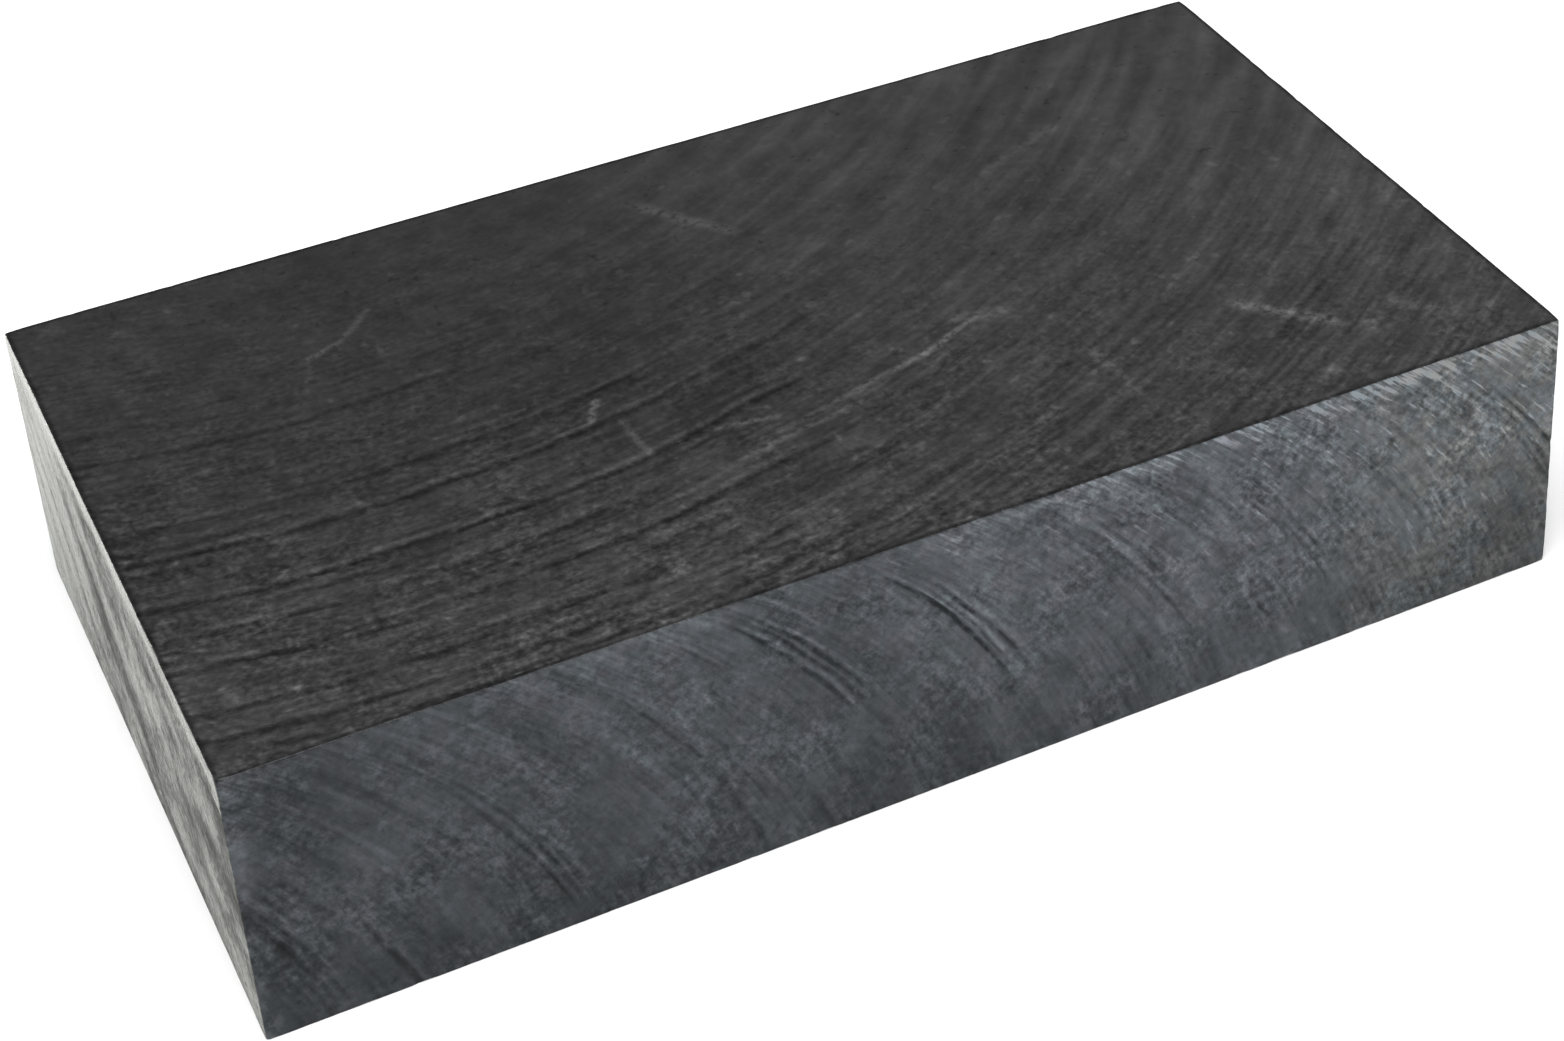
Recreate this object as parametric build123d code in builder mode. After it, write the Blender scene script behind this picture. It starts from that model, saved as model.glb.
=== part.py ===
from build123d import *
import os

# A block of pressed drawing charcoal: one solid bar, machined flat and square on
# all six faces. It has no casing, no core and no moving piece.
#
# Frame: the origin is the middle of the broad face that the block rests on. +X runs
# along the length, +Y from the front side to the back side, and +Z up through it.

# Driving dimensions, in millimetres
LENGTH = 90.0  # along X, between the two end faces
WIDTH = 50.0  # along Y, between the two long side faces
THICKNESS = 20.0  # along Z, between the two broad faces
EDGE_BREAK = 0.25  # the sharp machined edges are broken by this small bevel

with BuildPart() as charcoal_block:
    with BuildSketch(Plane.XY):
        Rectangle(LENGTH, WIDTH)
    extrude(amount=THICKNESS)
    chamfer(charcoal_block.edges(), length=EDGE_BREAK)

charcoal_block.part.label = "charcoal_block"

os.makedirs("parts", exist_ok=True)
export_step(charcoal_block.part, "parts/charcoal_block.step")
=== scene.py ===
import itertools
import math

import bpy
import numpy as np
from mathutils import Matrix, Vector


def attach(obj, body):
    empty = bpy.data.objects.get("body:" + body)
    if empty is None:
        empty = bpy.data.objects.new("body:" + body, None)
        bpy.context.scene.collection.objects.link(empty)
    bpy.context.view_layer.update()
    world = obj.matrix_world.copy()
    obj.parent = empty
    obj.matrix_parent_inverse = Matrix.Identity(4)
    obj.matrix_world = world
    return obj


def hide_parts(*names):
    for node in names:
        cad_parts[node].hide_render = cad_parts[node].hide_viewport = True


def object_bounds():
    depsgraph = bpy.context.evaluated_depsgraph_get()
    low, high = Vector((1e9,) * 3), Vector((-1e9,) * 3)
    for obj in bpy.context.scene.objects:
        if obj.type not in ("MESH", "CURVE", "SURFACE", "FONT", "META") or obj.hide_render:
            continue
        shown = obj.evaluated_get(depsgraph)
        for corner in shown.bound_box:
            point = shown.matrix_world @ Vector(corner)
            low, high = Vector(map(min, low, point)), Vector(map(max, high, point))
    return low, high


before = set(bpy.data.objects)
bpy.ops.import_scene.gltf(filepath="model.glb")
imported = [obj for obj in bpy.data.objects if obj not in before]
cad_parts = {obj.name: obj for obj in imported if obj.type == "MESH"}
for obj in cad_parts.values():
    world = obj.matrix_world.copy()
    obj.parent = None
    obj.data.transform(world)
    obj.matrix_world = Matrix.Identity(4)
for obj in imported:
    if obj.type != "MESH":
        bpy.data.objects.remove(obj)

# The charcoal block's looks. Lengths are in millimetres unless a name ends in _M,
# and they are measured from the middle of the block. The mesh is one closed surface:
# six faces whose rows of points follow the curved marks of the milling cutter, joined
# along worn edges. Blender units are metres.

NODE = "charcoal_block"
BODY = "root"
M_PER_MM = 0.001
SEED = 41

cad_low, cad_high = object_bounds()
CENTRE_M = (cad_low + cad_high) / 2
HALF = np.array(cad_high - cad_low) / 2 / M_PER_MM
HALF_LENGTH, HALF_WIDTH = HALF[:2]
LENGTH = 2 * HALF_LENGTH

X_AXIS, Y_AXIS, Z_AXIS = np.eye(3)

# Worn edges
RING_INSETS = (0.0, 0.05, 0.12, 0.22, 0.36)  # of the rings of points round a face
EDGE_STEP = 0.4  # between the points along an edge
CORNER_WEAR = 0.18
CORNER_REACH = 1.2  # an edge turns into its corner over this length
LEAST_WEAR = 0.05  # radius of an edge, before what the noise and the nicks add
SLOW_WEAR = 0.05
QUICK_WEAR = 0.03
NICK_WEAR = 0.1
EDGES_APART = 50.0  # between the edges' places in the noise
CLEAR_OF_ENDS = 0.35  # least distance to a row's end, as a share of the point step
MERGE_DIGITS = 5  # decimals of a millimetre that tell two points apart
NEAR = 1e-6  # points closer than this count as one
TINY = 1e-9  # allowance for rounding

# Cutter marks in the surface
MARK_SPAN = 2 * LENGTH  # every mark's number lies between minus this and this
PROFILE_STEP = 0.02
WIDTH_SPREAD = (0.7, 1.5)  # random shares of a family's groove width and depth
DEPTH_SPREAD = (0.4, 1.0)
PROFILE_REACH = 3  # half widths from a groove's middle to where its profile is cut off
WOBBLE = 0.4  # how far a groove strays in short bends
WAVER = 0.25  # and in long ones
LEAST_BROKEN = 0.1  # share of its depth that a groove keeps where it breaks up
SCORE_BROKEN = 0.65  # how much of that breaking up a single deep groove shows
SCORE_FADE = 2.5  # a single groove fades in and out over twice this length
RIPPLE_DEPTH = 0.012
EDGE_BLEND = 0.4  # a face's marks reach this far round its edges
GROOVE_DEPTH = 0.06  # the depth that gets the full painted groove shade in the material
HIGHLIGHT_SHIFT = 0.4  # from the middle of a groove to the painted highlight beside it
HIGHLIGHT_SHARE = 0.5
FACES_APART = 40.0  # between the faces' places in the noise
KINDS = (2, 1, 0)  # axes of the broad, long and end faces

# Lattice noise
NOISE_VALUES = 4096
HASH_PRIMES = (73856093, 19349663, 83492791)
BROKEN_KEY, WAVER_KEY, WOBBLE_KEY, RIPPLE_KEY = 80, 81, 82, 90  # each field's own seed
FIRST_FADE_KEY = 50


# ---------------------------------------------------------------- random fields


def smooth(x):
    return x * x * (3 - 2 * x)


def rise_between(x, low, high):
    """0 below low, 1 above high, and a smooth step between them."""
    return smooth(np.clip((x - low) / (high - low), 0, 1))


def lattice_noise(points, cells, seed):
    """Smooth random values from 0 to 1 at (n, k) points, one lattice value per cell."""
    table = np.random.default_rng(seed).random(NOISE_VALUES)
    scaled = np.asarray(points, float) / np.asarray(cells, float)
    base = np.floor(scaled).astype(np.int64)
    share = smooth(scaled - base)
    total = np.zeros(len(scaled))
    for corner in itertools.product((0, 1), repeat=scaled.shape[1]):
        cell = base + np.array(corner)
        index = np.zeros(len(scaled), np.int64)
        for column, prime in zip(cell.T, HASH_PRIMES):
            index ^= column * prime
        weight = np.where(np.array(corner) == 1, share, 1 - share).prod(1)
        total += weight * table[index % NOISE_VALUES]
    return total


# ---------------------------------------------------------------- tool paths
#
# A face has coordinates s and t in its own plane. A path numbers the cutter marks of a
# face: each mark c is one curve across it. Between the places listed in turns, a mark
# only rises or only falls with s.


class FedArcs:
    """Marks of a cutter fed straight across the face: one arc, moved along t."""

    turns = ()

    def __init__(self, radius, centre):
        self.radius, self.centre = radius, centre

    def number(self, s, t):
        return t - np.sqrt(self.radius**2 - (self.centre - s) ** 2)

    def t_on(self, s, c):
        return c + np.sqrt(self.radius**2 - (self.centre - s) ** 2)

    def s_on(self, t, c, side):
        return self.centre - math.sqrt(self.radius**2 - (t - c) ** 2)


class TableArcs:
    """Marks of a turning table: circles round a point beyond the face's high side."""

    def __init__(self, centre_s, centre_t):
        self.centre_s, self.centre_t = centre_s, centre_t
        self.turns = (centre_s,)

    def number(self, s, t):
        return -np.hypot(s - self.centre_s, self.centre_t - t)

    def t_on(self, s, c):
        return self.centre_t - np.sqrt(np.maximum(0, c**2 - (s - self.centre_s) ** 2))

    def s_on(self, t, c, side):
        reach = math.sqrt(max(0, c**2 - (self.centre_t - t) ** 2))
        return self.centre_s + side * reach


def full_press(s, t):
    return np.ones(len(s))


class Marks:
    """The grooves that a cutter leaves, as a depth in millimetres over (s, c).

    sets are random families of grooves: (gap range, half width, depth, share present,
    power), where the power says how fast the family fades as the cutter presses less.
    scores are single deep grooves: (c, s from, s to, half width, depth).
    press(s, t) says how hard the cutter pressed, and 1 is fully.
    fade_cell is the size, along and across, of the places where a family comes and goes.
    """

    def __init__(self, seed, sets, scores=(), press=full_press, fade_cell=(11.0, 2.6)):
        self.seed, self.scores, self.press, self.fade_cell = seed, scores, press, fade_cell
        self.span = np.arange(-MARK_SPAN, MARK_SPAN, PROFILE_STEP)
        self.sets = [(self._profile(i, *s[:3]), *s[3:]) for i, s in enumerate(sets)]

    def _profile(self, layer, gap, half_width, depth):
        """Depth over c of one family of grooves, at random gaps and depths."""
        random = np.random.default_rng([self.seed, layer])
        most = int(2 * MARK_SPAN / gap[0])
        places = -MARK_SPAN + np.cumsum(random.uniform(*gap, most))
        total = np.zeros(len(self.span))
        for place in places[places < MARK_SPAN]:
            width = half_width * random.uniform(*WIDTH_SPREAD)
            reach = PROFILE_REACH * width
            low, high = np.searchsorted(self.span, (place - reach, place + reach))
            shape = groove_shape(self.span[low:high] - place, width)
            shape = depth * random.uniform(*DEPTH_SPREAD) * shape
            total[low:high] = np.maximum(total[low:high], shape)
        return total

    def _noise(self, points, cells, key):
        return lattice_noise(points, cells, [self.seed, key])

    def depth_at(self, s, t, c):
        """How deep the marks are at each point: grooves, deep scores and a fine ripple."""
        where = np.stack([s, c], 1)
        press = self.press(s, t)
        wobble = self._noise(where, (1.9, 0.7), WOBBLE_KEY) - 0.5
        waver = self._noise(s[:, None], (6.0,), WAVER_KEY) - 0.5
        centre = c + WOBBLE * wobble + WAVER * waver
        broken = LEAST_BROKEN + self._noise(where, (2.2, 0.8), BROKEN_KEY)
        total = np.zeros(len(s))
        for layer, (profile, cover, power) in enumerate(self.sets):
            fade = self._noise(where, self.fade_cell, FIRST_FADE_KEY + layer)
            present = rise_between(fade, 1 - cover, 1.3 - cover) * press**power * broken
            total = np.maximum(total, present * np.interp(centre, self.span, profile))
        for place, begin, finish, half_width, depth in self.scores:
            run = rise_between(s, begin - SCORE_FADE, begin + SCORE_FADE)
            run = run * (1 - rise_between(s, finish - SCORE_FADE, finish + SCORE_FADE))
            run = run * (1 - SCORE_BROKEN + SCORE_BROKEN * broken)
            total = np.maximum(total, depth * run * groove_shape(centre - place, half_width))
        return total + RIPPLE_DEPTH * press * self._noise(where, (2.2, 0.42), RIPPLE_KEY)

    def shade_at(self, s, t, c):
        """1 in a deep groove, where shade is painted, and below 0 on the painted highlight beside
        it.
        """
        highlight_depth = self.depth_at(s, t, c - HIGHLIGHT_SHIFT)
        return (self.depth_at(s, t, c) - HIGHLIGHT_SHARE * highlight_depth) / GROOVE_DEPTH


def groove_shape(off, half_width):
    return np.exp(-((off / half_width) ** 2))


# ---------------------------------------------------------------- the six faces


class Face:
    """One face of the block: s runs along the marks and t across them.

    row_step is the gap between its rows of points, and point_step the gap in a row.
    """

    def __init__(self, normal, along, across, path, marks, row_step, point_step):
        self.normal, self.along, self.across = normal, along, across
        self.path, self.marks = path, marks
        self.row_step, self.point_step = row_step, point_step
        self.half_s = abs(HALF @ along)
        self.half_t = abs(HALF @ across)
        self.outward = float(np.cross(along, across) @ normal)

    def to_block(self, s, t):
        return (
            self.normal * (HALF @ abs(self.normal))
            + np.outer(s, self.along)
            + np.outer(t, self.across)
        )

    def from_block(self, points):
        """(s, t) of each point of the block, taken straight onto this face."""
        s = np.clip(points @ self.along, -self.half_s, self.half_s)
        t = np.clip(points @ self.across, -self.half_t, self.half_t)
        return s, t


# Families of grooves, in the order that Marks gives
TOP_SETS = [((1.3, 2.8), 0.3, 0.07, 0.8, 3), ((0.6, 1.3), 0.17, 0.055, 0.8, 2)]
BROAD_SETS = [((2.0, 4.4), 0.22, 0.045, 0.5, 1), ((0.7, 1.7), 0.16, 0.025, 0.6, 1)]
SIDE_SETS = [((0.9, 2.4), 0.18, 0.07, 0.35, 1), ((0.5, 1.1), 0.14, 0.045, 0.5, 1)]
END_SETS = [((1.5, 3.5), 0.3, 0.04, 0.4, 1), ((0.8, 1.6), 0.2, 0.02, 0.4, 1)]


def top_press(s, t):
    """How hard the cutter pressed: full at the front left, light at the back right."""
    return np.clip(0.55 - 0.005 * s - 0.015 * t, 0.1, 1)


def top_face():
    """The broad face on top: deep grooves at the front left, soft streaks at the right."""
    path = TableArcs(centre_s=-0.31 * LENGTH, centre_t=0.82 * LENGTH)
    grooves = (  # radius, s at its right end, depth
        (68.3, -20, 0.04),
        (76.1, -8, 0.05),
        (79.3, 2, 0.055),
        (84.1, -2, 0.08),
        (87.3, -12, 0.055),
        (90.3, -4, 0.065),
        (94.4, -14, 0.06),
        (96.8, -20, 0.06),
    )
    half_width = 0.34
    scores = [(-radius, -LENGTH, end, half_width, depth) for radius, end, depth in grooves]
    marks = Marks(SEED, TOP_SETS, scores, top_press)
    return Face(Z_AXIS, X_AXIS, Y_AXIS, path, marks, row_step=0.17, point_step=0.9)


def bottom_face():
    path = TableArcs(centre_s=0.2 * LENGTH, centre_t=1.1 * LENGTH)
    marks = Marks(SEED + 1, BROAD_SETS)
    return Face(-Z_AXIS, X_AXIS, -Y_AXIS, path, marks, row_step=0.3, point_step=1.6)


SIDE_FADE = (5.0, 2.2)
SIDE_PATH = FedArcs(radius=0.5 * LENGTH, centre=0.27 * LENGTH)
END_PATH = FedArcs(radius=0.78 * LENGTH, centre=HALF_WIDTH + 1.0)


def side_press(s, t):
    """Rises toward the upper right of the front, where the block is most scored."""
    return 0.6 + 0.4 * rise_between(t - 2.5 * s, -10, 60)


def front_face():
    """The long side: a few sets of parallel scores among faint arcs."""
    groups = (  # middle c, s from, s to, count of scores, depth, half width
        (-82.7, -2, 7, 2, 0.075, 0.32),
        (-78.2, 4, 12, 1, 0.06, 0.28),
        (-67.0, -2, 8, 3, 0.045, 0.17),
        (-54.9, -7, 0, 2, 0.05, 0.17),
        (-48.5, -12, -4, 2, 0.04, 0.17),
        (-44.6, -7, 0, 3, 0.07, 0.2),
        (-34.9, -6, 3.5, 3, 0.085, 0.19),
        (-24.0, -8, 3, 2, 0.045, 0.17),
        (-17.0, -12, -6, 2, 0.06, 0.2),
        (-13.0, -5, 4, 3, 0.04, 0.17),
        (6.0, -6, 3, 3, 0.06, 0.22),
    )
    gap = 0.7
    random = np.random.default_rng(SEED)
    scores = []
    for middle, begin, finish, count, depth, half_width in groups:
        for k in range(count):
            place = middle + gap * (k - (count - 1) / 2) + random.uniform(-0.15, 0.15)
            start, stop = np.array([begin, finish]) + random.uniform(-2.0, 1.0, 2)
            scores.append((place, start, stop, half_width, depth * random.uniform(0.7, 1.3)))
    marks = Marks(SEED + 2, SIDE_SETS, scores, side_press, SIDE_FADE)
    return Face(-Y_AXIS, -Z_AXIS, X_AXIS, SIDE_PATH, marks, row_step=0.2, point_step=0.8)


def back_face():
    marks = Marks(SEED + 3, SIDE_SETS, (), side_press, SIDE_FADE)
    return Face(Y_AXIS, -Z_AXIS, -X_AXIS, SIDE_PATH, marks, row_step=0.24, point_step=1.0)


def left_end():
    marks = Marks(SEED + 4, END_SETS)
    return Face(-X_AXIS, -Y_AXIS, -Z_AXIS, END_PATH, marks, row_step=0.18, point_step=0.8)


def right_end():
    marks = Marks(SEED + 5, END_SETS)
    return Face(X_AXIS, Y_AXIS, -Z_AXIS, END_PATH, marks, row_step=0.22, point_step=1.0)


# ---------------------------------------------------------------- mesh


def stitch(low, high, low_at, high_at):
    """Triangles that join two rows of points, given how far along each point lies."""
    triangles = []
    i = j = 0
    while i < len(low) - 1 or j < len(high) - 1:
        low_next = low_at[i + 1] if i < len(low) - 1 else math.inf
        high_next = high_at[j + 1] if j < len(high) - 1 else math.inf
        if low_next <= high_next:
            triangles.append((low[i], low[i + 1], high[j]))
            i += 1
        else:
            triangles.append((low[i], high[j + 1], high[j]))
            j += 1
    return triangles


class Sheet:
    """Points and triangles of one flat face, in that face's (s, t)."""

    def __init__(self):
        self.points = []
        self.triangles = []

    def add(self, points):
        first = len(self.points)
        self.points.extend(points)
        return list(range(first, len(self.points)))


def mark_numbers(face, panels, half_t):
    """Numbers c of all rows, with one row through each corner of each panel."""
    sides = sorted({s for panel in panels for s in panel})
    stops = sorted({float(face.path.number(s, t)) for s in sides for t in (-half_t, half_t)})
    rows = [stops[0]]
    for start, stop in zip(stops, stops[1:]):
        steps = max(1, math.ceil((stop - start) / face.row_step))
        rows.extend(start + (stop - start) * k / steps for k in range(1, steps))
        rows.append(stop)
    return rows


def row_ends(face, c, panel, half_t, side):
    """Both ends of row c in a panel, where side is 1 if it rises and -1 if it falls."""
    ends = []
    for s, limit in zip(panel, (-side * half_t, side * half_t)):
        t = float(face.path.t_on(s, c))
        if abs(t) <= half_t + TINY:
            ends.append((s, t))
        else:
            ends.append((face.path.s_on(limit, c, side), limit))
    return ends


def row_points(face, c, start, end):
    """Points of row c: start, end, and whole multiples of the face's point step between."""
    if end[0] - start[0] < NEAR:
        return [start]
    gap = face.point_step
    clear = CLEAR_OF_ENDS * gap
    first = math.ceil((start[0] + clear) / gap)
    last = math.floor((end[0] - clear) / gap)
    between = [k * gap for k in range(first, last + 1)]
    return [start] + [(s, float(face.path.t_on(s, c))) for s in between] + [end]


def fill_panel(face, sheet, panel, rows, half_t):
    """Rows of points across one panel, stitched. Returns every row's two end points."""
    middle = sum(panel) / 2
    rises = face.path.t_on(middle, rows[0]) < face.path.t_on(middle + NEAR, rows[0])
    side = 1 if rises else -1
    low_s, high_s = panel if rises else panel[::-1]
    lowest = face.path.number(high_s, -half_t)
    highest = face.path.number(low_s, half_t)
    ends, before = [], None
    for c in rows:
        if not lowest - TINY <= c <= highest + TINY:
            continue
        points = row_points(face, c, *row_ends(face, c, panel, half_t, side))
        row, at = sheet.add(points), [p[0] for p in points]
        if before:
            sheet.triangles += stitch(before[0], row, before[1], at)
        ends += [(row[0], points[0]), (row[-1], points[-1])]
        before = row, at
    return ends


def face_sheet(face):
    """A face as rows along its tool marks, inside rings that run along its sides."""
    sheet = Sheet()
    inset = RING_INSETS[-1]
    half_s, half_t = face.half_s - inset, face.half_t - inset
    stops = [-half_s, *face.path.turns, half_s]
    panels = list(zip(stops, stops[1:]))
    rows = mark_numbers(face, panels, half_t)
    ends = []
    for panel in panels:
        ends += fill_panel(face, sheet, panel, rows, half_t)
    rings = [ring_sides(face, sheet, ring_inset) for ring_inset in RING_INSETS[:-1]]
    rings.append(marked_sides(ends, half_s, half_t))
    for outer, inner in zip(rings, rings[1:]):
        for (low, low_at), (high, high_at) in zip(outer, inner):
            sheet.triangles += stitch(low, high, low_at, high_at)
    return sheet


def marked_sides(ends, half_s, half_t):
    """The four sides of the marked area, each from corner to corner, anticlockwise."""
    sides = []
    lines = ((1, -half_t, 1), (0, half_s, 1), (1, half_t, -1), (0, -half_s, -1))
    for axis, value, direction in lines:
        on_side = [(direction * p[1 - axis], i) for i, p in ends if abs(p[axis] - value) < NEAR]
        indices, places = [], []
        for place, index in sorted(on_side):
            if not places or place - places[-1] > NEAR:
                places.append(place)
                indices.append(index)
        length = places[-1] - places[0]
        sides.append((indices, [(place - places[0]) / length for place in places]))
    return sides


def ring_sides(face, sheet, inset):
    """The four sides of a rectangle inside the face, evenly stepped, anticlockwise."""
    half_s, half_t = face.half_s - inset, face.half_t - inset
    corners = [(-half_s, -half_t), (half_s, -half_t), (half_s, half_t), (-half_s, half_t)]
    steps_s = round(2 * face.half_s / EDGE_STEP)
    steps_t = round(2 * face.half_t / EDGE_STEP)
    sides = []
    for k, steps in enumerate((steps_s, steps_t, steps_s, steps_t)):
        (s0, t0), (s1, t1) = corners[k], corners[(k + 1) % 4]
        at = [n / steps for n in range(steps + 1)]
        points = [(s0 * (1 - a) + s1 * a, t0 * (1 - a) + t1 * a) for a in at]
        sides.append((sheet.add(points), at))
    return sides


def wear_radius(points):
    """How far the nearest edge is rounded off, with small nicks along it.

    Each of the twelve edges has a number of its own, made from the axis along it and
    the signs of the other two coordinates, so that the noise differs between edges.
    """
    depth = HALF - abs(points)
    order = np.argsort(depth, axis=1, kind="stable")
    rows = np.arange(len(points))
    along_axis = order[:, 2]
    along = points[rows, along_axis]
    octant = (points > 0) @ np.array([1, 2, 4])
    edge = octant - (along > 0) * (2**along_axis) + 8 * along_axis
    where = np.stack([along, edge * EDGES_APART], 1)
    slow = lattice_noise(where, (5.0, EDGES_APART), SEED + 20)
    quick = lattice_noise(where, (0.9, EDGES_APART), SEED + 21)
    nicks = rise_between(lattice_noise(where, (1.3, EDGES_APART), SEED + 22), 0.8, 0.97)
    radius = LEAST_WEAR + SLOW_WEAR * slow + QUICK_WEAR * quick + NICK_WEAR * nicks
    on_edge = smooth(np.clip(depth[rows, along_axis] / CORNER_REACH, 0, 1))
    return CORNER_WEAR * (1 - on_edge) + radius * on_edge


def worn(points):
    """Points of the sharp block moved onto its worn edges."""
    radius = wear_radius(points)[:, None]
    core = np.clip(points, -(HALF - radius), HALF - radius)
    off = points - core
    return core + off * radius / np.linalg.norm(off, axis=1, keepdims=True)


def marked(points, faces):
    """How far the cutter marks of all faces push each point inward, and the painted shade of
    their grooves.
    """
    push = np.zeros_like(points)
    shade = np.zeros(len(points))
    for face in faces:
        below = HALF @ abs(face.normal) - points @ face.normal
        share = np.clip(1 - below / EDGE_BLEND, 0, 1)
        near = share > 0
        s, t = face.from_block(points[near])
        c = face.path.number(s, t)
        depth = face.marks.depth_at(s, t, c)
        push[near] -= np.outer(depth * share[near], face.normal)
        shade[near] += face.marks.shade_at(s, t, c) * share[near]
    return push, shade


def build_mesh(faces):
    """All faces joined into one closed mesh, with what the material reads."""
    sheets = [face_sheet(face) for face in faces]
    flat = [np.array(sheet.points) for sheet in sheets]
    placed = np.concatenate([f.to_block(p[:, 0], p[:, 1]) for f, p in zip(faces, flat)])
    keys = np.round(placed, MERGE_DIGITS) + 0.0
    _, first, merged = np.unique(keys, axis=0, return_index=True, return_inverse=True)
    merged = merged.ravel()
    points = placed[first]
    triangles, offset = [], 0
    for face, sheet in zip(faces, sheets):
        block = np.array(sheet.triangles) + offset
        triangles.append(block if face.outward > 0 else block[:, ::-1])
        offset += len(sheet.points)
    corner_source = np.concatenate(triangles)
    corners = merged[corner_source]
    push, shade = marked(points, faces)
    final = worn(points) + push
    mesh = bpy.data.meshes.new(NODE)
    mesh.from_pydata((final * M_PER_MM + np.array(CENTRE_M)).tolist(), [], corners.tolist())
    mesh.update()
    add_attributes(mesh, faces, flat, corner_source, shade)
    mesh.polygons.foreach_set("use_smooth", [True] * len(mesh.polygons))
    check_closed(corners)
    return mesh


def add_attributes(mesh, faces, flat, corner_source, shade):
    """What the material reads. tool is (s, c) and a number that keeps faces apart.

    look is (kind of face, how hard the cutter pressed, distance from the face's side),
    where the kind is 0 for a broad face, 1 for a long side and 2 for an end.
    """
    tool, look = [], []
    for number, (face, points) in enumerate(zip(faces, flat)):
        s, t = points[:, 0], points[:, 1]
        apart = np.full(len(s), FACES_APART * number)
        kind = np.full(len(s), float(KINDS.index(int(np.argmax(abs(face.normal))))))
        side = np.minimum(face.half_s - abs(s), face.half_t - abs(t))
        tool.append(np.stack([s, face.path.number(s, t), apart], 1))
        look.append(np.stack([kind, face.marks.press(s, t), side], 1))
    for name, values in (("tool", tool), ("look", look)):
        values = np.concatenate(values)[corner_source.ravel()]
        layer = mesh.attributes.new(name, "FLOAT_VECTOR", "CORNER")
        layer.data.foreach_set("vector", values.astype(np.float32).ravel())
    # groove: painted shade in the grooves, and a painted highlight beside them where it is below
    # 0
    layer = mesh.attributes.new("groove", "FLOAT", "POINT")
    layer.data.foreach_set("value", shade.astype(np.float32))


def check_closed(corners):
    """Stops the script if any mesh edge isn't shared by exactly two triangles."""
    pairs = np.concatenate([corners[:, [0, 1]], corners[:, [1, 2]], corners[:, [2, 0]]])
    _, uses = np.unique(np.sort(pairs, axis=1), axis=0, return_counts=True)
    if (uses != 2).any():
        raise ValueError(f"the surface isn't closed: {(uses != 2).sum()} open edges")


# ---------------------------------------------------------------- material


MIX_A, MIX_B, MIX_RESULT = 6, 7, 2  # a Mix node's sockets when it mixes colours


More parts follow.
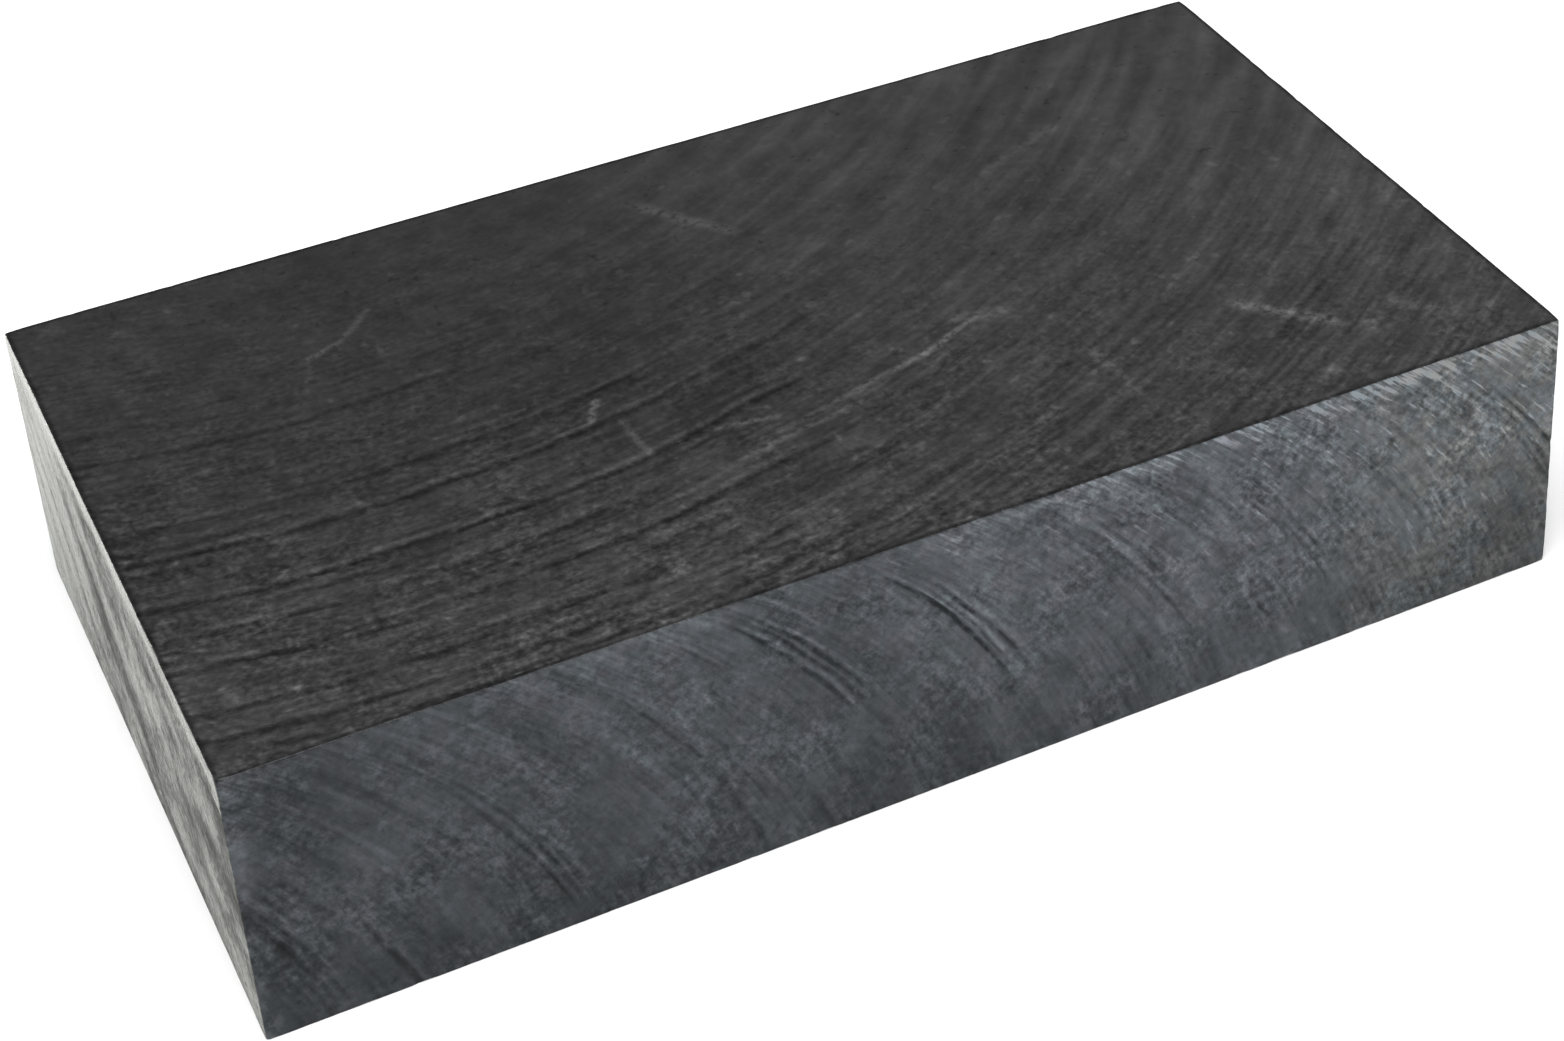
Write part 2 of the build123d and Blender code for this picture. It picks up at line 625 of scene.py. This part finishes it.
class Graph:
    """Short names for the few node kinds that the materials use.

    Most methods add nodes and return the socket with the result. Their arguments are
    sockets or plain values.
    """

    def __init__(self, name):
        self.material = bpy.data.materials.new(name)
        self.material.use_nodes = True
        self.tree = self.material.node_tree
        self.tree.nodes.clear()
        self.surface = self.tree.nodes.new("ShaderNodeBsdfPrincipled")
        output = self.tree.nodes.new("ShaderNodeOutputMaterial")
        self.tree.links.new(self.surface.outputs[0], output.inputs["Surface"])

    def put(self, socket, value):
        """Links another node's socket, or sets a plain value."""
        if isinstance(value, bpy.types.NodeSocket):
            self.tree.links.new(value, socket)
        else:
            socket.default_value = value

    def finished(self, inputs):
        """The material, once the surface's named inputs are filled."""
        for name, value in inputs.items():
            self.put(self.surface.inputs[name], value)
        return self.material

    def attribute(self, name, output="Fac"):
        node = self.tree.nodes.new("ShaderNodeAttribute")
        node.attribute_name = name
        return node.outputs[output]

    def math(self, operation, a, b, clamp=False):
        node = self.tree.nodes.new("ShaderNodeMath")
        node.operation = operation
        node.use_clamp = clamp
        self.put(node.inputs[0], a)
        self.put(node.inputs[1], b)
        return node.outputs[0]

    def add(self, a, b):
        return self.math("ADD", a, b)

    def times(self, a, b):
        return self.math("MULTIPLY", a, b)

    def plus_times(self, a, b, c):
        """a * b + c"""
        node = self.tree.nodes.new("ShaderNodeMath")
        node.operation = "MULTIPLY_ADD"
        for socket, value in zip(node.inputs, (a, b, c)):
            self.put(socket, value)
        return node.outputs[0]

    def vector(self, operation, a, b, output="Vector"):
        node = self.tree.nodes.new("ShaderNodeVectorMath")
        node.operation = operation
        self.put(node.inputs[0], a)
        self.put(node.inputs[1], b)
        return node.outputs[output]

    def tinted(self, colour, value):
        """A colour or vector times one number."""
        node = self.tree.nodes.new("ShaderNodeVectorMath")
        node.operation = "SCALE"
        self.put(node.inputs[0], colour)
        self.put(node.inputs["Scale"], value)
        return node.outputs["Vector"]

    def split(self, vector):
        node = self.tree.nodes.new("ShaderNodeSeparateXYZ")
        self.put(node.inputs[0], vector)
        return node.outputs

    def place_mm(self):
        """Millimetres from the middle of the block."""
        node = self.tree.nodes.new("ShaderNodeTexCoord")
        off = self.vector("SUBTRACT", node.outputs["Object"], CENTRE_M)
        return self.vector("MULTIPLY", off, (1 / M_PER_MM,) * 3)

    def noise(self, vector, cell, detail=2.0, roughness=0.5, output="Fac"):
        """Noise whose features are about cell = (x, y, z) millimetres in size."""
        node = self.tree.nodes.new("ShaderNodeTexNoise")
        self.put(node.inputs["Vector"], self.vector("MULTIPLY", vector, [1 / c for c in cell]))
        node.inputs["Scale"].default_value = 1.0
        node.inputs["Detail"].default_value = detail
        node.inputs["Roughness"].default_value = roughness
        return node.outputs[output]

    def ramp(self, value, low, high, out_low=0.0, out_high=1.0):
        """A smooth step from out_low, where value is low, to out_high."""
        node = self.tree.nodes.new("ShaderNodeMapRange")
        node.interpolation_type = "SMOOTHSTEP"
        self.put(node.inputs["Value"], value)
        self.put(node.inputs["From Min"], low)
        self.put(node.inputs["From Max"], high)
        self.put(node.inputs["To Min"], out_low)
        self.put(node.inputs["To Max"], out_high)
        return node.outputs["Result"]

    def mix(self, share, a, b):
        """A colour from a, where share is 0, to b, where it is 1."""
        node = self.tree.nodes.new("ShaderNodeMix")
        node.data_type = "RGBA"
        self.put(node.inputs["Factor"], share)
        self.put(node.inputs[MIX_A], a)
        self.put(node.inputs[MIX_B], b)
        return node.outputs[MIX_RESULT]

    def total(self, *weighted):
        """Sum of (value, weight) pairs, each value counted from its middle, 0.5."""
        result = 0.0
        for value, weight in weighted:
            centred = self.math("SUBTRACT", value, 0.5)
            result = self.add(self.times(centred, weight), result)
        return result


# Base colours of the surface
NEUTRAL = (0.0685, 0.0685, 0.0685, 1.0)
TEAL = (0.0585, 0.0673, 0.0728, 1.0)
VIOLET = (0.0655, 0.0645, 0.0733, 1.0)
WORN_SIDE = (0.071, 0.0728, 0.071, 1.0)
OLIVE = (0.078, 0.081, 0.0745, 1.0)
SILVER = (0.082, 0.083, 0.0805, 1.0)
WHITE_SHEEN = (1.0, 1.0, 1.0, 1.0)
END_SHEEN = (0.995, 1.0, 0.955, 1.0)

METALLIC = 0.75
BRIGHTEST = 4.0  # the most that a light mark multiplies its base colour by
BUMP_HEIGHT = 0.08
SCRATCH_WAVE = 0.6
SCRATCH_TONE = 0.6
SCRATCH_ROUGHNESS = 0.3

TOP_SCRATCHES = (  # start, end, half width and brightness
    ((-42.5, -17.5), (-41.9, -19.0), 0.5, 0.5),
    ((-15.8, -19.8), (-15.0, -21.6), 0.5, 0.4),
    ((2.6, -22.0), (2.9, -24.0), 0.6, 0.5),
    ((8.0, -20.5), (8.3, -22.5), 0.7, 0.4),
    ((-30.3, -4.4), (-29.6, -5.8), 0.5, 0.5),
    ((-29.3, 8.4), (-28.2, 11.8), 0.5, 0.4),
    ((-28.2, 11.8), (-25.9, 12.8), 0.45, 0.6),
    ((-25.9, 12.8), (-22.9, 15.6), 0.5, 0.5),
    ((-14.6, -3.8), (-13.5, -1.9), 0.5, 1.1),
    ((-12.9, -4.8), (-12.7, -8.6), 0.5, 0.7),
    ((-8.0, -8.4), (-4.2, -9.2), 0.5, 0.7),
    ((-8.0, -12.3), (0.5, -10.5), 0.4, 0.45),
    ((-4.5, -10.8), (0.0, -9.5), 0.55, 0.6),
    ((0.0, -9.5), (6.9, -7.7), 0.5, 0.8),
    ((6.9, -7.7), (12.0, -5.6), 0.55, 0.9),
    ((10.5, -5.2), (13.5, -5.6), 1.0, 0.5),
    ((-2.5, 18.4), (1.8, 12.2), 1.0, 0.5),
    ((16.7, -13.0), (17.0, -18.3), 0.7, 0.45),
    ((20.5, 10.2), (27.4, 13.2), 0.9, 0.4),
    ((27.5, -12.8), (32.2, -17.8), 1.0, 0.75),
    ((36.9, -18.0), (38.4, -19.4), 1.0, 0.5),
)


class Carbon(Graph):
    """Pressed carbon with a satin, faintly metallic sheen and milled streaks.

    Its tone gathers every light and dark mark, painted highlights and shade among them, as an
    exponent on a dark base colour.
    """

    def __init__(self):
        super().__init__("pressed_carbon")
        self.tool = self.attribute("tool", "Vector")
        kind, self.press, self.rim = self.split(self.attribute("look", "Vector"))
        self.place = self.place_mm()
        self.x, self.y, self.z = self.split(self.place)
        self.on_broad = self.math("SUBTRACT", 1.0, kind, True)
        self.on_end = self.math("SUBTRACT", kind, 1.0, True)
        not_broad = self.math("SUBTRACT", 1.0, self.on_broad)
        self.on_side = self.math("SUBTRACT", not_broad, self.on_end)
        self.upper = self.ramp(self.z, 7.0, 8.0)
        self.make_noises()

    def make_noises(self):
        """Isotropic noise over the block, then noise drawn out along the tool marks."""
        self.grain = self.noise(self.place, (0.45,) * 3, 2.0, 0.6)
        self.crumbs = self.noise(self.place, (0.9,) * 3, 2.0, 0.6)
        self.chips = self.noise(self.place, (0.8,) * 3, 2.0)
        self.blotch = self.noise(self.place, (2.2,) * 3, 4.0, 0.65)
        self.clouds = self.noise(self.place, (14.0,) * 3, 2.0)
        self.hue = self.noise(self.place, (2.0,) * 3, 5.0, 0.8)
        self.dashes = self.noise(self.tool, (1.1, 0.42, 1.0), 2.0, 0.6)
        self.fibres = self.noise(self.tool, (4.0, 0.45, 1.0), 2.0)
        self.bands = self.noise(self.tool, (16.0, 1.1, 1.0), 2.0)
        self.soft = self.noise(self.tool, (9.0, 1.9, 1.0), 1.0)
        self.patches = self.noise(self.tool, (10.0, 4.0, 1.0), 1.0)

    def by_kind(self, broad, side, end):
        """One of three values, for a broad face, a long side or an end."""
        parts = [self.times(self.on_broad, broad), self.times(self.on_side, side)]
        return self.add(self.add(*parts), self.times(self.on_end, end))

    def pressed(self, least, most):
        """least where the cutter didn't press, and most where it pressed fully."""
        return self.plus_times(self.press, most - least, least)

    def slow_tone_and_painted_light(self):
        """Slow changes over each face, most of them painted light and shade."""
        fade = self.times(self.ramp(self.y, -23.0, 0.0), self.ramp(self.x, -10.0, 12.0, 1.0, 0.3))
        front_right = self.times(self.ramp(self.x, -6.0, 10.0), self.ramp(self.y, -2.0, -14.0))
        # Broad faces: lighter towards the right, a painted reflection, and darker towards the
        # back left and the front right
        broad_tone_and_painted_reflection = self.total(
            (self.ramp(self.x, -12.0, 8.0), 0.08),
            (self.ramp(self.x, 20.0, 46.0), 0.14),
            (fade, -0.3),
            (front_right, -0.1),
        )
        # Long sides: painted lighter towards the right and the top, and painted shade towards the
        # floor and the left end
        to_right = self.ramp(self.x, -50.0, 50.0)
        to_top = self.ramp(self.z, -11.0, 4.0)
        side_painted_light = self.total((to_right, 0.58), (to_top, 0.42))
        side_painted_light = self.add(side_painted_light, self.ramp(self.x, -44.0, -30.0, -0.06, 0.0))
        crossed = [self.math("SUBTRACT", value, 0.5) for value in (to_right, to_top)]
        side_painted_light = self.plus_times(self.times(*crossed), 0.1, side_painted_light)
        return self.by_kind(broad_tone_and_painted_reflection, side_painted_light, 0.0)

    def fine_tone(self):
        """Grain and short dashes, stronger in some spots than in others."""
        rough_spots = self.ramp(self.noise(self.place, (5.0,) * 3, 2.0), 0.38, 0.62, 0.5, 1.3)
        return self.times(rough_spots, self.total(
            (self.grain, self.by_kind(self.pressed(-0.4, 1.1), self.pressed(0.5, 2.3), 1.4)),
            (self.crumbs, self.by_kind(self.pressed(-0.3, 1.1), 0.0, 0.0)),
            (self.dashes, self.by_kind(self.pressed(-0.2, 0.7), self.pressed(0.0, 1.7), 1.0)),
        ))

    def streaks(self):
        """Streaks and mottling. The back left of the broad faces has no streaks."""
        streaked = self.ramp(self.plus_times(self.y, -1.1, self.x), -50.0, -5.0)
        combed = self.times(self.ramp(self.x, 0.0, 30.0, 0.4, 1.0), self.pressed(0.0, 1.3))
        bands = self.times(streaked, self.pressed(0.0, 1.2))
        soft = self.times(streaked, self.pressed(1.5, 0.2))
        return self.total(
            (self.fibres, self.by_kind(self.times(streaked, combed), 0.5, 0.5)),
            (self.bands, self.by_kind(bands, 0.7, 0.6)),
            (self.soft, self.by_kind(soft, 0.4, 0.4)),
            (self.blotch, self.by_kind(self.pressed(0.45, 1.1), self.pressed(0.0, 1.6), 1.0)),
            (self.clouds, self.by_kind(0.3, 0.7, 0.7)),
            (self.patches, self.by_kind(0.0, 0.4, 0.8)),
        )

    def with_specks(self, tone):
        """Adds light flecks and spots, dark pits, and painted shade in the grooves, broken up in
        places, with a painted highlight beside each.
        """
        flecks = self.ramp(self.noise(self.tool, (2.0, 0.5, 1.0), 2.0), 0.6, 0.75)
        spots = self.ramp(self.noise(self.place, (1.2,) * 3, 1.0), 0.66, 0.78)
        pits = self.ramp(self.chips, 0.34, 0.26)
        shade_breakup = self.ramp(self.chips, 0.3, 0.62, 0.4, 1.4)
        # Painted shade in the grooves and a painted highlight beside them, broken up in places
        groove = self.times(self.attribute("groove"), shade_breakup)
        fleck_tone = self.by_kind(self.pressed(0.0, 0.3), self.pressed(-2.0, 1.2), 0.2)
        tone = self.plus_times(flecks, fleck_tone, tone)
        tone = self.plus_times(spots, self.by_kind(self.pressed(0.1, 0.6), 0.3, 0.2), tone)
        tone = self.plus_times(pits, -0.3, tone)
        return self.plus_times(groove, self.by_kind(-0.85, -0.75, -0.3), tone)

    def scratch_mask(self, where, start, end, half_width):
        """1 on a straight scratch between two points of the plane and 0 beside it."""
        start, end = Vector(start), Vector(end)
        run = end - start
        from_start = self.vector("SUBTRACT", where, start)
        reached = self.vector("DOT_PRODUCT", from_start, run, "Value")
        along = self.math("DIVIDE", reached, run.length_squared, True)
        apart = self.vector("SUBTRACT", from_start, self.tinted(run, along))
        distance = self.vector("LENGTH", apart, apart, "Value")
        return self.ramp(distance, 0.0, half_width, 1.0, 0.0)

    def top_scratches(self):
        """The light scratches on top, dusty and a little wavy."""
        wave = self.noise(self.place, (2.4,) * 3, 2.0, output="Color")
        wave = self.vector("SUBTRACT", wave, (0.5,) * 3)
        bent = self.vector("MULTIPLY", wave, (SCRATCH_WAVE, SCRATCH_WAVE, 0.0))
        flat_place = self.vector("ADD", self.vector("MULTIPLY", self.place, (1, 1, 0)), bent)
        total = 0.0
        for start, end, half_width, level in TOP_SCRATCHES:
            mask = self.scratch_mask(flat_place, (*start, 0), (*end, 0), half_width)
            total = self.math("MAXIMUM", self.times(mask, level), total)
        dust = self.ramp(self.noise(self.place, (0.5,) * 3, 2.0), 0.3, 0.52)
        on_top = self.times(self.on_broad, self.math("GREATER_THAN", self.z, 0.0))
        return self.times(self.times(total, dust), on_top)

    def rim_highlights(self):
        """Painted highlights, broken into teeth, along the rims of the long sides and of the
        ends. The ends' rims are polished there too.
        """
        teeth = self.ramp(self.noise(self.tool, (2.6, 0.5, 1.0), 2.0, 0.6), 0.47, 0.6)
        side_teeth = self.plus_times(self.ramp(self.x, -15.0, 45.0, 0.0, 1.6), teeth, 0.15)
        end_teeth = self.plus_times(teeth, 0.7, self.ramp(self.y, -20.0, 22.0, 1.1, 2.6))
        # Painted highlight along each face's rim, fading out about 2 mm in; on the ends it also
        # sets polish
        side_rim_highlight = self.times(self.ramp(self.rim, 0.3, 2.0, 1.0, 0.0), side_teeth)
        end_rim_polish_and_highlight = self.times(self.ramp(self.rim, 0.4, 2.2, 1.0, 0.0), end_teeth)
        return side_rim_highlight, end_rim_polish_and_highlight

    def with_edges(self, tone, side_rim_highlight, end_rim_polish_and_highlight):
        """Adds painted highlights under the upper edges and at the left end of the long sides,
        and a dark line of painted shade round the broad faces.
        """
        # Painted highlight in a band under the upper edges
        rim_highlight = self.by_kind(0.0, side_rim_highlight, self.times(end_rim_polish_and_highlight, 0.55))
        tone = self.plus_times(self.upper, rim_highlight, tone)
        # Painted highlight near the left end of the long sides, in blotches
        left_end_band = self.ramp(self.x, -44.8, -43.3, 0.5, 0.0)
        left_end_highlight = self.times(left_end_band, self.ramp(self.blotch, 0.4, 0.6))
        tone = self.add(tone, self.by_kind(0.0, left_end_highlight, 0.0))
        # Painted shade: a dark line just inside the rim of the broad faces, which also dims the
        # glint on their edges
        edge_shade = self.ramp(self.rim, 0.05, 0.5, -0.8, 0.0)
        return self.add(tone, self.by_kind(edge_shade, 0.0, 0.0))

    def base_colour(self, tone):
        """Neutral on the broad faces, blue-grey on the sides, a little olive on the ends."""
        side_colour = self.mix(self.ramp(self.hue, 0.38, 0.7), TEAL, VIOLET)
        worn = self.times(self.ramp(self.hue, 0.4, 0.58), self.ramp(self.x, 22.0, 38.0))
        side_colour = self.mix(worn, side_colour, WORN_SIDE)
        end_colour = self.mix(self.ramp(self.hue, 0.35, 0.65), OLIVE, SILVER)
        colour = self.mix(self.on_side, NEUTRAL, side_colour)
        colour = self.mix(self.on_end, colour, end_colour)
        brightness = self.math("MINIMUM", self.math("POWER", math.e, tone), BRIGHTEST)
        return self.tinted(colour, brightness)

    def end_polish(self, end_rim_polish_and_highlight):
        """How polished the ends are: in patches, and most toward the back and the top."""
        to_back = self.plus_times(self.upper, end_rim_polish_and_highlight, self.ramp(self.y, 4.0, 22.0))
        return self.add(to_back, self.total(
            (self.patches, 2.9),
            (self.clouds, 1.5),
            (self.blotch, 3.1),
            (self.soft, 0.4),
            (self.grain, 2.6),
            (self.dashes, 0.8),
        ))

    def roughness(self, polish, scratches):
        rough = self.total((self.dashes, 0.25), (self.blotch, 0.25), (self.grain, 0.2))
        end_rough = self.ramp(polish, -1.2, 1.8, 0.46, 0.17)
        rough = self.add(rough, self.by_kind(0.45, 0.45, end_rough))
        return self.plus_times(scratches, SCRATCH_ROUGHNESS, rough)

    def grazing_sheen(self, tone, polish):
        """At a grazing angle a face still shows its marks, and an end its polish."""
        level = self.ramp(self.by_kind(tone, tone, polish), -0.9, 0.8, 0.35, 1.0)
        return self.tinted(self.mix(self.on_end, WHITE_SHEEN, END_SHEEN), level)

    def bump(self):
        """Fine or shallow relief that the mesh leaves out."""
        height = self.total((self.dashes, 0.6), (self.fibres, 0.4), (self.grain, 0.5))
        end_height = self.total((self.blotch, 4.0), (self.grain, 1.0))
        height = self.plus_times(self.on_end, end_height, self.times(self.press, height))
        node = self.tree.nodes.new("ShaderNodeBump")
        node.inputs["Strength"].default_value = 1.0
        node.inputs["Distance"].default_value = BUMP_HEIGHT * M_PER_MM
        self.put(node.inputs["Height"], height)
        return node.outputs[0]


def carbon_material():
    g = Carbon()
    side_rim_highlight, end_rim_polish_and_highlight = g.rim_highlights()
    scratches = g.top_scratches()
    polish = g.end_polish(end_rim_polish_and_highlight)
    tone = g.add(g.add(g.slow_tone_and_painted_light(), g.fine_tone()), g.streaks())
    tone = g.plus_times(scratches, SCRATCH_TONE, g.with_specks(tone))
    tone = g.with_edges(tone, side_rim_highlight, end_rim_polish_and_highlight)
    return g.finished({
        "Base Color": g.base_colour(tone),
        "Metallic": METALLIC,
        "Roughness": g.roughness(polish, scratches),
        "Specular Tint": g.grazing_sheen(tone, polish),
        "Normal": g.bump(),
    })


# ---------------------------------------------------------------- scene


def all_faces():
    return [top_face(), bottom_face(), front_face(), back_face(), left_end(), right_end()]


def make_block():
    block = bpy.data.objects.new("charcoal_block_surface", build_mesh(all_faces()))
    bpy.context.scene.collection.objects.link(block)
    block.data.materials.append(carbon_material())
    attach(block, BODY)
    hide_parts(NODE)


FLOOR_REACH_M = 0.9  # from the middle to each side
FLOOR_COLOUR = (0.89, 0.89, 0.89, 1.0)
FLOOR_ROUGHNESS = 0.9


def make_floor():
    mesh = bpy.data.meshes.new("floor")
    signs = ((-1, -1), (1, -1), (1, 1), (-1, 1))
    corners = [(FLOOR_REACH_M * x, FLOOR_REACH_M * y, cad_low.z) for x, y in signs]
    mesh.from_pydata(corners, [], [(0, 1, 2, 3)])
    floor = bpy.data.objects.new("floor", mesh)
    bpy.context.scene.collection.objects.link(floor)
    looks = {"Base Color": FLOOR_COLOUR, "Roughness": FLOOR_ROUGHNESS}
    mesh.materials.append(Graph("pale_floor").finished(looks))


LIGHTS = (  # name, place from the block's middle in metres, diameter in metres, watts
    ("overhead", (-0.1, -0.3, 0.8), 0.7, 10.1),
    ("back_left", (-0.55, 0.68, 0.3), 0.5, 5.0),
)


def area_light(name, place, diameter, power):
    """A round soft light that faces the middle of the block."""
    data = bpy.data.lights.new(name, "AREA")
    data.shape = "DISK"
    data.size = diameter
    data.energy = power
    light = bpy.data.objects.new(name, data)
    light.location = CENTRE_M + Vector(place)
    light.rotation_mode = "QUATERNION"
    light.rotation_quaternion = (-Vector(place)).to_track_quat("-Z", "Y")
    bpy.context.scene.collection.objects.link(light)


SHOWN_BACKDROP = (0.88, 0.88, 0.88, 1.0)
STUDIO_WALLS = (0.25, 0.25, 0.25, 1.0)


def make_world():
    """Pale to the camera and dimmer to everything else, like a studio's dark walls."""
    world = bpy.data.worlds.new("studio")
    bpy.context.scene.world = world
    world.use_nodes = True
    tree = world.node_tree
    shown = tree.nodes["Background"]
    shown.inputs["Color"].default_value = SHOWN_BACKDROP
    dim = tree.nodes.new("ShaderNodeBackground")
    dim.inputs["Color"].default_value = STUDIO_WALLS
    path = tree.nodes.new("ShaderNodeLightPath")
    mix = tree.nodes.new("ShaderNodeMixShader")
    tree.links.new(path.outputs["Is Camera Ray"], mix.inputs["Fac"])
    tree.links.new(dim.outputs[0], mix.inputs[1])
    tree.links.new(shown.outputs[0], mix.inputs[2])
    tree.links.new(mix.outputs[0], tree.nodes["World Output"].inputs["Surface"])


SENSOR_WIDTH = 36.0
FOCAL_WIDTHS = 2.1371  # focal length over the sensor's width
CLIP_M = (0.01, 20.0)
CAMERA_PLACE = (-0.74519, -1.89284, 1.49944)  # in block lengths, from its middle
CAMERA_AHEAD = (0.3935, 0.75888, -0.5189)
CAMERA_UP = (0.26071, 0.44915, 0.85457)
LENS_SHIFT = (-0.177, -0.2482)
SAME_PLACE_M = 0.00001  # the camera counts as unmoved within this distance


def make_camera():
    data = bpy.data.cameras.new("camera")
    data.sensor_width = SENSOR_WIDTH
    data.lens = FOCAL_WIDTHS * SENSOR_WIDTH
    data.shift_x, data.shift_y = LENS_SHIFT
    data.clip_start, data.clip_end = CLIP_M
    camera = bpy.data.objects.new("camera", data)
    bpy.context.scene.collection.objects.link(camera)
    bpy.context.scene.camera = camera
    place = CENTRE_M + Vector(CAMERA_PLACE) * LENGTH * M_PER_MM
    ahead = Vector(CAMERA_AHEAD).normalized()
    right = ahead.cross(Vector(CAMERA_UP)).normalized()
    up = right.cross(ahead)
    turn = Matrix((right, up, -ahead)).transposed().to_4x4()
    camera.matrix_world = Matrix.Translation(place) @ turn
    for name, value in zip(("shift_x", "shift_y"), LENS_SHIFT):
        shift_only_here(data, name, value, camera)


def shift_only_here(data, name, value, camera):
    """The lens shift holds where the camera starts, and is 0 from anywhere else.

    The camera's x alone tells whether it has moved.
    """
    driver = data.driver_add(name).driver
    driver.type = "SCRIPTED"
    variable = driver.variables.new()
    variable.name = "x"
    variable.targets[0].id = camera
    variable.targets[0].data_path = "location[0]"
    way_off = f"abs(x - {camera.location.x:.6f})"
    driver.expression = f"{value} if {way_off} < {SAME_PLACE_M:.5f} else 0.0"


bpy.context.scene.view_settings.view_transform = "Standard"
make_block()
make_floor()
for light in LIGHTS:
    area_light(*light)
make_world()
make_camera()
